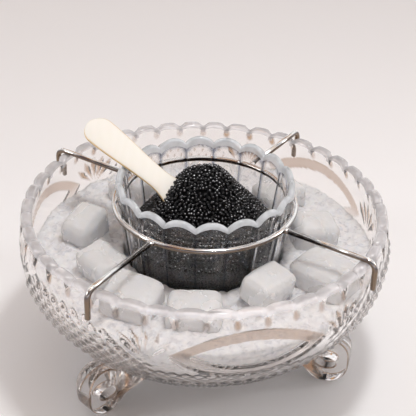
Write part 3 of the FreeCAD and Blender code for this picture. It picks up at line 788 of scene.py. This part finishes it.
def chrome():
    """Bright chromed wire with fine drawing marks, with painted reflections: bright on top, dark and brown on its sides
    and underneath.
    """
    plating, tree, shader = new_finish("chrome_wire", Metallic=1.0)
    facing = tree.nodes.new("ShaderNodeNewGeometry")
    upward = tree.nodes.new("ShaderNodeSeparateXYZ")
    painted_reflection = tree.nodes.new("ShaderNodeValToRGB")
    tones = painted_reflection.color_ramp.elements
    tones[0].position = 0.0
    tones[0].color = (0.22, 0.165, 0.12, 1)
    tones[1].position = 0.75
    tones[1].color = (0.90, 0.89, 0.87, 1)
    tones.new(0.38).color = (0.14, 0.125, 0.13, 1)
    marks = pattern_on(tree, "Noise", Scale=900, Detail=3)
    tree.links.new(facing.outputs["Normal"], upward.inputs["Vector"])
    tree.links.new(upward.outputs["Z"], painted_reflection.inputs["Fac"])
    tree.links.new(painted_reflection.outputs["Color"], shader["Base Color"])
    tree.links.new(ramp(tree, marks["Fac"], 0, 1, 0.07, 0.2), shader["Roughness"])
    return plating


wire_chrome = chrome()

bm = bmesh.new()
wire_turns = np.linspace(0, 2 * math.pi, wire_sides, endpoint=False)
section = [bm.verts.new((0, -ring_radius - wire_radius * math.cos(t), ring_height + wire_radius * math.sin(t)))
           for t in wire_turns]
bmesh.ops.spin(bm, geom=section + ring_edges(bm, section), cent=(0, 0, 0), axis=(0, 0, 1),
               angle=2 * math.pi, steps=240, use_merge=True)
ring = finish_piece(bm, "wire_ring")
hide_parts("holder_ring")
ring.data.materials.append(wire_chrome)


def arm_mesh():
    """One arm at the front: straight run, bend and hook, with a braze fillet at the ring."""
    bm = bmesh.new()
    bend_r = arm_drop - arm_bend
    start = -ring_radius - wire_radius * 0.6
    section = [bm.verts.new((wire_radius * math.cos(t), start, ring_height + wire_radius * math.sin(t)))
               for t in wire_turns]
    cap = bm.faces.new(section)

    def grow(geom, vec):
        made = bmesh.ops.extrude_face_region(bm, geom=geom)
        moved = [v for v in made["geom"] if isinstance(v, bmesh.types.BMVert)]
        bmesh.ops.delete(bm, geom=geom, context="FACES")
        bmesh.ops.translate(bm, verts=moved, vec=vec)
        return [f for f in made["geom"] if isinstance(f, bmesh.types.BMFace)]

    bm.faces.new([bm.verts.new(v.co) for v in reversed(section)])
    end = grow([cap], (0, -(bend_r + start), 0))
    turned = bmesh.ops.spin(bm, geom=end, cent=(0, -bend_r, ring_height - arm_bend), axis=(1, 0, 0),
                            angle=math.pi / 2, steps=14, use_duplicate=False)
    bmesh.ops.delete(bm, geom=end, context="FACES")
    tip = [f for f in turned["geom_last"] if isinstance(f, bmesh.types.BMFace)]
    tip = grow(tip, (0, 0, arm_bend + 0.0008 - arm_hook))
    tip = grow(tip, (0, 0, -0.0006))
    bmesh.ops.scale(bm, verts=list({v for f in tip for v in f.verts}), vec=(0.7, 0.7, 1),
                    space=Matrix.Translation((0, arm_drop, 0)))
    bmesh.ops.remove_doubles(bm, verts=bm.verts, dist=0.000005)
    braze = bmesh.ops.create_icosphere(bm, subdivisions=3, radius=braze_radius)["verts"]
    bmesh.ops.scale(bm, verts=braze, vec=(1, 1.15, 0.72))
    bmesh.ops.translate(bm, verts=braze, vec=(0, -ring_radius - wire_radius, ring_height))
    return bm


arm_bm = arm_mesh()
for index in range(4):
    turn = math.radians(first_arm + 90 * index)
    arm = finish_piece(turned_copy(arm_bm, turn), "wire_arm_%d" % (index + 1))
    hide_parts("holder_arm_%d" % (index + 1))
    arm.data.materials.append(wire_chrome)
arm_bm.free()


# Spoon: cut from mother-of-pearl shell and polished, so it doesn't taint the roe.
# It lies over the cup's rim with its bowl pushed into the heap.
spoon_length = 0.112
spoon_end_width = 0.020
spoon_neck_width = 0.014
spoon_bowl_width = 0.026
spoon_bowl_length = 0.038
spoon_thick = 0.0032
spoon_dish = 0.0018
spoon_rest_angle = math.radians(-112)
spoon_rest_lift = 0.00275
spoon_rise = math.radians(18)
spoon_heading = -128
spoon_roll = math.radians(22)
spoon_overhang = 0.034
ivory_dark = (0.835, 0.81, 0.745, 1)
ivory_light = (0.845, 0.82, 0.76, 1)
amber_edge = (0.62, 0.42, 0.17, 1)

spoon_rest = Vector(((cup_rim - cup_wall / 2) * math.sin(spoon_rest_angle),
                     -(cup_rim - cup_wall / 2) * math.cos(spoon_rest_angle), cup_top + spoon_rest_lift))
spoon_place = (Matrix.Translation(spoon_rest)
               @ Matrix.Rotation(math.radians(spoon_heading - 90), 4, "Z")
               @ Matrix.Rotation(-spoon_rise, 4, "Y")
               @ Matrix.Rotation(-spoon_roll, 4, "X")
               @ Matrix.Translation((spoon_overhang - spoon_length, 0, 0)))


def spoon_half_width(along):
    """Half width of the spoon along its length, round at both ends."""
    tip = 0.5 * spoon_bowl_length
    end = spoon_length - 0.5 * spoon_end_width
    if along < tip:
        return 0.5 * spoon_bowl_width * math.sqrt(max(1 - ((tip - along) / tip) ** 2, 0))
    if along > end:
        return 0.5 * spoon_end_width * math.sqrt(max(1 - ((along - end) / (spoon_length - end)) ** 2, 0))
    neck = 1.3 * spoon_bowl_length
    wide_at, width = (tip, spoon_bowl_width) if along < neck else (end, spoon_end_width)
    swell = (1 + math.cos(math.pi * (along - wide_at) / (neck - wide_at))) / 2
    return 0.5 * (spoon_neck_width + (width - spoon_neck_width) * swell)


def spoon_mesh():
    """Blank with round edges: one ring of points across the spoon at every station, closed at both ends."""
    bm = bmesh.new()
    rings = []
    for station in range(1, 60):
        along = spoon_length * (1 - math.cos(math.pi * station / 60)) / 2
        half = spoon_half_width(along)
        edge = min(spoon_thick / 2, half * 0.9)
        dish_along = max(0, 1 - ((along - 0.46 * spoon_bowl_length) / (0.5 * spoon_bowl_length)) ** 2)
        ring = []
        for turn in np.linspace(0, 2 * math.pi, 32, endpoint=False):
            side = math.copysign(abs(math.cos(turn)) ** 0.6, math.cos(turn)) * half
            rise = math.copysign(abs(math.sin(turn)) ** 0.55, math.sin(turn)) * edge
            hollow = spoon_dish * dish_along * max(0, 1 - (side / (0.9 * half)) ** 2)
            lift = spoon_thick / 2 + rise - (hollow if rise > 0 else hollow * 0.3)
            ring.append(bm.verts.new((along, side, lift)))
        rings.append(ring)
    for tip in bmesh.ops.poke(bm, faces=bridge_rings(bm, rings))["verts"]:
        tip.co = (0 if tip.co.x < spoon_length / 2 else spoon_length, 0, spoon_thick / 2)
    bmesh.ops.transform(bm, matrix=spoon_place, verts=bm.verts)
    return bm


spoon = finish_piece(spoon_mesh(), "shell_spoon")
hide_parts("spoon")
spoon_back = spoon_place.inverted()
to_edge = spoon.data.attributes.new("to_edge", "FLOAT", "POINT")
for vert, share in zip(spoon.data.vertices, to_edge.data):
    local = spoon_back @ vert.co
    along = min(max(local.x, 0.0003), spoon_length - 0.0003)
    share.value = abs(local.y) / max(spoon_half_width(along), 0.001)


def pearl():
    """Polished shell: ivory with faint growth lines, translucent amber where the edge is thin."""
    shell, tree, shader = new_finish(
        "pearl_shell", Roughness=0.28, Coat_Weight=0.3, Coat_Roughness=0.1, Subsurface_Weight=0.2,
        Subsurface_Scale=0.5, Subsurface_Radius=(0.004, 0.003, 0.002))
    growth = pattern_on(tree, "Wave", Scale=55, Distortion=5, Detail=2)
    edge = tree.nodes.new("ShaderNodeAttribute")
    edge.attribute_name = "to_edge"
    ivory = mix(tree, growth["Fac"], ivory_dark, ivory_light)
    tree.links.new(mix(tree, ramp(tree, edge.outputs["Fac"], 0.9, 0.99), ivory, amber_edge), shader["Base Color"])
    return shell


spoon.data.materials.append(pearl())


# Caviar: black sturgeon roe heaped in the cup, beads of about two millimetres.
# The beads lie close on the heap's surface and are pressed flat along the glass.
bead = 0.0011
heap_top = 0.1415
heap_round = 0.022
heap_slope = math.radians(49)
roe_black = (0.0035, 0.0035, 0.0045, 1)
# Painted highlight: a pale glint on each bead where its normal faces this direction, shifted a little by noise.
painted_glint_colour = (0.62, 0.63, 0.66, 1)
painted_glint_direction = (-0.20, -0.60, 0.55)
bank_place = (-0.021, -0.015)
bank_rise = 0.0055
bank_width = 0.007
heap_swell = 0.0014
heap_swell_scale = 75
core_depth = 3.2 * bead
fill_gap = 0.0003
fill_radius = cup_radius(0.105, cup_wall + fill_gap) - bead


def heap_height(radius):
    """Height of the heap's surface at a radius: a round top on a cone."""
    shoulder = heap_round * math.sin(heap_slope)
    if radius < shoulder:
        return heap_top - heap_round + math.sqrt(heap_round ** 2 - radius ** 2)
    return heap_top - heap_round * (1 - math.cos(heap_slope)) - (radius - shoulder) * math.tan(heap_slope)


def bank(x, y):
    """Extra height where the roe is pushed up against the spoon, and the heap's unevenness."""
    away = math.hypot(x - bank_place[0], y - bank_place[1])
    pushed = bank_rise * math.exp(-away ** 2 / (2 * bank_width ** 2))
    return pushed + heap_swell * noise.noise(Vector((x, y, 0)) * heap_swell_scale)


def bead_cloud(name, spots, rings, seed):
    """One piece of many small beads at given places, each turned and sized a little differently."""
    chance = random.Random(seed)
    bm = bmesh.new()
    bmesh.ops.create_uvsphere(bm, u_segments=8, v_segments=rings, radius=bead)
    corners = [v.co.copy() for v in bm.verts]
    faces = [[v.index for v in f.verts] for f in bm.faces]
    bm.free()
    places = []
    polygons = []
    for spot in spots:
        tip = Matrix.Rotation(chance.uniform(0, 3.14), 3, "X")
        turn = tip @ Matrix.Rotation(chance.uniform(0, 6.28), 3, "Z") * chance.uniform(0.92, 1.06)
        polygons += [[len(places) + corner for corner in face] for face in faces]
        places += [turn @ corner + spot for corner in corners]
    mesh = bpy.data.meshes.new(name)
    mesh.from_pydata(places, [], polygons)
    return place_piece(mesh)


def heap_spots(nearest, tries, depth, seed):
    """Bead places thrown at random at a depth in the heap, none nearer to another than a bead's width."""
    chance = random.Random(seed)
    spots = []
    cells = {}
    for _ in range(tries):
        turn = chance.uniform(0, 2 * math.pi)
        radius = fill_radius * math.sqrt(chance.random())
        x = radius * math.sin(turn)
        y = -radius * math.cos(turn)
        spot = Vector((x, y, heap_height(radius) + bank(x, y) - depth + chance.uniform(-0.0005, 0.0002)))
        cell = tuple(int(c // nearest) for c in spot)
        beside = [cells.get((cell[0] + i, cell[1] + j, cell[2] + k), ())
                  for i in (-1, 0, 1) for j in (-1, 0, 1) for k in (-1, 0, 1)]
        if all((spot - other).length > nearest for group in beside for other in group):
            cells.setdefault(cell, []).append(spot)
            spots.append(spot)
    return spots


def spoon_covers(spot):
    """Whether a bead at a place would touch the spoon."""
    local = spoon_back @ spot
    if not -bead < local.x < spoon_length:
        return False
    near = spoon_half_width(min(max(local.x, 0.0005), spoon_length)) + bead * 0.7
    return abs(local.y) < near and -bead * 0.8 < local.z < spoon_thick + bead * 0.3


def clear_of_spoon(spots):
    """Leaves out the beads that the spoon's bowl pushes aside."""
    return [spot for spot in spots if not spoon_covers(spot)]


def roe():
    """Wet black roe: near-black skin with a painted highlight, a small pale glint on the upper side of every bead."""
    skin, tree, shader = new_finish("roe", Roughness=0.1, IOR=1.38)
    facing = tree.nodes.new("ShaderNodeNewGeometry")
    speckle = pattern_on(tree, "Noise", Scale=260)
    sway = tree.nodes.new("ShaderNodeVectorMath")
    sway.operation = "MULTIPLY_ADD"
    sway.inputs[1].default_value = (0.5, 0.5, 0.5)
    sway.inputs[2].default_value = painted_glint_direction
    nearness = tree.nodes.new("ShaderNodeVectorMath")
    nearness.operation = "DOT_PRODUCT"
    painted_glints = tree.nodes.new("ShaderNodeValToRGB")
    for tone, position, colour in zip(painted_glints.color_ramp.elements, (0.82, 0.97), (roe_black, painted_glint_colour)):
        tone.position = position
        tone.color = colour
    tree.links.new(speckle["Color"], sway.inputs[0])
    tree.links.new(sway.outputs["Vector"], nearness.inputs[0])
    tree.links.new(facing.outputs["Normal"], nearness.inputs[1])
    tree.links.new(nearness.outputs["Value"], painted_glints.inputs["Fac"])
    tree.links.new(painted_glints.outputs["Color"], shader["Base Color"])
    return skin


def side_spots(seed):
    """Bead places in rings against the cup's inside, below the heap's edge."""
    chance = random.Random(seed)
    spots = []
    pitch = bead * 1.9
    z = cup_bottom + cup_floor + bead + fill_gap
    while z < heap_height(fill_radius) - bead:
        radius = cup_radius(z, cup_wall + fill_gap) - bead * 1.05
        count = int(2 * math.pi * radius / pitch)
        start = chance.uniform(0, 6.28)
        for index in range(count):
            turn = start + 2 * math.pi * index / count
            jitter = chance.uniform(-0.0002, 0.0002)
            spots.append(Vector((radius * math.sin(turn), -radius * math.cos(turn), z + jitter)))
        z += pitch * 0.88
    return spots


def core_mesh():
    """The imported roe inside: the cup's inside up to the heap, a few beads below its surface."""
    floor = cup_bottom + cup_floor + fill_gap
    points = [(0, floor)]
    for z in np.linspace(floor, heap_height(fill_radius) - bead, 16):
        points.append((cup_radius(z, cup_wall + fill_gap) - 0.0012, z))
    points += [(r, heap_height(r) - core_depth) for r in np.linspace(fill_radius - 0.001, 0, 12)]
    bm = revolve(points, 96, 0)
    for vert in bm.verts:
        if vert.co.z > heap_height(fill_radius) - core_depth - 0.1 * bead:
            towards_middle = smooth_step(fill_radius, fill_radius - 0.004, vert.co.xy.length)
            vert.co.z += bank(vert.co.x, vert.co.y) * towards_middle
    return bm


roe_skin = roe()
packed_roe = new_finish("packed_roe", Base_Color=(0.003, 0.003, 0.004, 1), Roughness=0.5, Specular_IOR_Level=0.12)[0]
top_spots = clear_of_spoon(heap_spots(nearest=1.78 * bead, tries=24000, depth=bead, seed=11))
under_spots = clear_of_spoon(heap_spots(nearest=1.9 * bead, tries=9000, depth=2.2 * bead, seed=12))
top_beads = bead_cloud("roe_heap", top_spots, 6, 21)
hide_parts("caviar")
under_beads = bead_cloud("roe_under_heap", under_spots, 4, 22)
fill_core = finish_piece(core_mesh(), "roe_core")
side_beads = bead_cloud("roe_against_glass", side_spots(31), 4, 41)
for piece, skin in ((top_beads, roe_skin), (under_beads, roe_skin), (fill_core, packed_roe), (side_beads, packed_roe)):
    piece.data.materials.append(skin)


# Ice: cubes from a tray, half melted, standing in crushed ice that fills the bowl.
# The cubes are clear at the edges and cloudy inside, with a wet skin.
cube_count = 10
melt_cuts = 5
melt_depth = 0.0006
melt_scale = 90
bed_top = 0.084
bed_gap = 0.0013
wall_gap = 0.0004
crumb_size = 0.0045
crumb_rise = 0.0032
swell_rise = 0.0016
swell_scale = 38


ice_cloud, takes, gives = new_group(
    "ice_cloud",
    {"Dull": "Color", "White": "Color", "Cloud Scale": "Float", "Clear Roughness": "Float", "Cloud Roughness": "Float"},
    {"Color": "Color", "Roughness": "Float", "Normal": "Vector"})
cloud = pattern_on(ice_cloud, "Noise", Scale=60, Detail=4, Distortion=0.6)
ice_cloud.links.new(takes["Cloud Scale"], cloud["Fac"].node.inputs["Scale"])
whiteness = ramp(ice_cloud, cloud["Fac"], 0.3, 0.7)
ice_cloud.links.new(mix(ice_cloud, whiteness, takes["Dull"], takes["White"]), gives["Color"])
ice_cloud.links.new(ramp(ice_cloud, cloud["Fac"], 0.35, 0.65, takes["Clear Roughness"], takes["Cloud Roughness"]),
                    gives["Roughness"])
frost = pattern_on(ice_cloud, "Noise", Scale=300, Detail=4)
ice_cloud.links.new(bump_from(ice_cloud, frost["Fac"], 0.6, 0.0009), gives["Normal"])


def ice_finish(name, clearness, dull, cloud_scale, clear_roughness, cloud_roughness):
    """Melting ice: clear wet skin over cloudy, bubbly white."""
    ice, tree, shader = new_finish(name, IOR=1.31, Transmission_Weight=clearness, Subsurface_Weight=0.8,
                                   Subsurface_Scale=1.0, Subsurface_Radius=(0.006, 0.0065, 0.007))
    skin = use_group(tree, ice_cloud, {"Dull": dull, "White": (0.995, 0.995, 1.0, 1), "Cloud Scale": cloud_scale,
                                       "Clear Roughness": clear_roughness, "Cloud Roughness": cloud_roughness})
    for label in ("Color", "Roughness", "Normal"):
        tree.links.new(skin[label], shader["Base Color" if label == "Color" else label])
    return ice


cube_ice = ice_finish("cube_ice", 0.32, (0.97, 0.97, 0.985, 1), 60, 0.08, 0.35)
crushed_ice = ice_finish("crushed_ice", 0.08, (0.76, 0.76, 0.79, 1), 220, 0.2, 0.55)


def melted(bm, seed):
    """Rounds and dents a block, as melting does."""
    bmesh.ops.subdivide_edges(bm, edges=bm.edges, cuts=melt_cuts, use_grid_fill=True)
    for _ in range(3):
        bmesh.ops.smooth_vert(bm, verts=bm.verts, factor=0.5, use_axis_x=True, use_axis_y=True,
                              use_axis_z=True)
    bm.normal_update()
    shift = Vector((seed * 3.1, seed * 1.7, 0))
    for vert in bm.verts:
        dent = noise.noise(vert.co * melt_scale + shift) + 0.4 * noise.noise(vert.co * melt_scale * 3.1 + shift)
        vert.co -= vert.normal * melt_depth * (0.6 + dent)


for number in range(1, cube_count + 1):
    node = "ice_cube_%d" % number
    bm = bmesh.new()
    bm.from_mesh(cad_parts[node].data)
    bmesh.ops.remove_doubles(bm, verts=bm.verts, dist=0.00001)
    bmesh.ops.dissolve_limit(bm, angle_limit=0.02, verts=bm.verts, edges=bm.edges)
    melted(bm, number)
    bmesh.ops.triangulate(bm, faces=bm.faces)
    cube = finish_piece(bm, "cube_of_ice_%d" % number)
    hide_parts(node)
    cube.data.materials.append(cube_ice)


def bed_section():
    """Half section of the crushed ice: along the floor, up the bowl's wall, over the top and down the cup."""
    floor = bowl_base + bowl_floor + wall_gap
    heights = np.linspace(floor + 0.001, bed_top, 20)
    points = [(0, floor), (0.02, floor)]
    points += [(wall_radius(z, bowl_wall + wall_gap), z) for z in heights]
    wall_side = points[-1][0]
    cup_side = cup_radius(bed_top, -bed_gap)
    points += [(r, bed_top) for r in np.linspace(wall_side, cup_side, 46)[1:]]
    points += [(cup_radius(z, -bed_gap), z) for z in np.linspace(bed_top, cup_bottom, 8)[1:-1]]
    points += [(0.03, cup_bottom - bed_gap), (0, cup_bottom - bed_gap)]
    return points


bed = finish_piece(revolve(bed_section(), 360, 0), "crushed_bed")
places = places_of(bed.data.vertices, "co")
for place in places:
    if place[2] > bed_top - 0.0001:
        spot = Vector(place)
        crumb = noise.voronoi(spot / crumb_size)[0][0]
        place[2] += crumb_rise * (0.5 - crumb) + swell_rise * noise.noise(spot * swell_scale)
bed.data.vertices.foreach_set("co", places.ravel())
bed.data.update()
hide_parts("ice_bed")
bed.data.materials.append(crushed_ice)
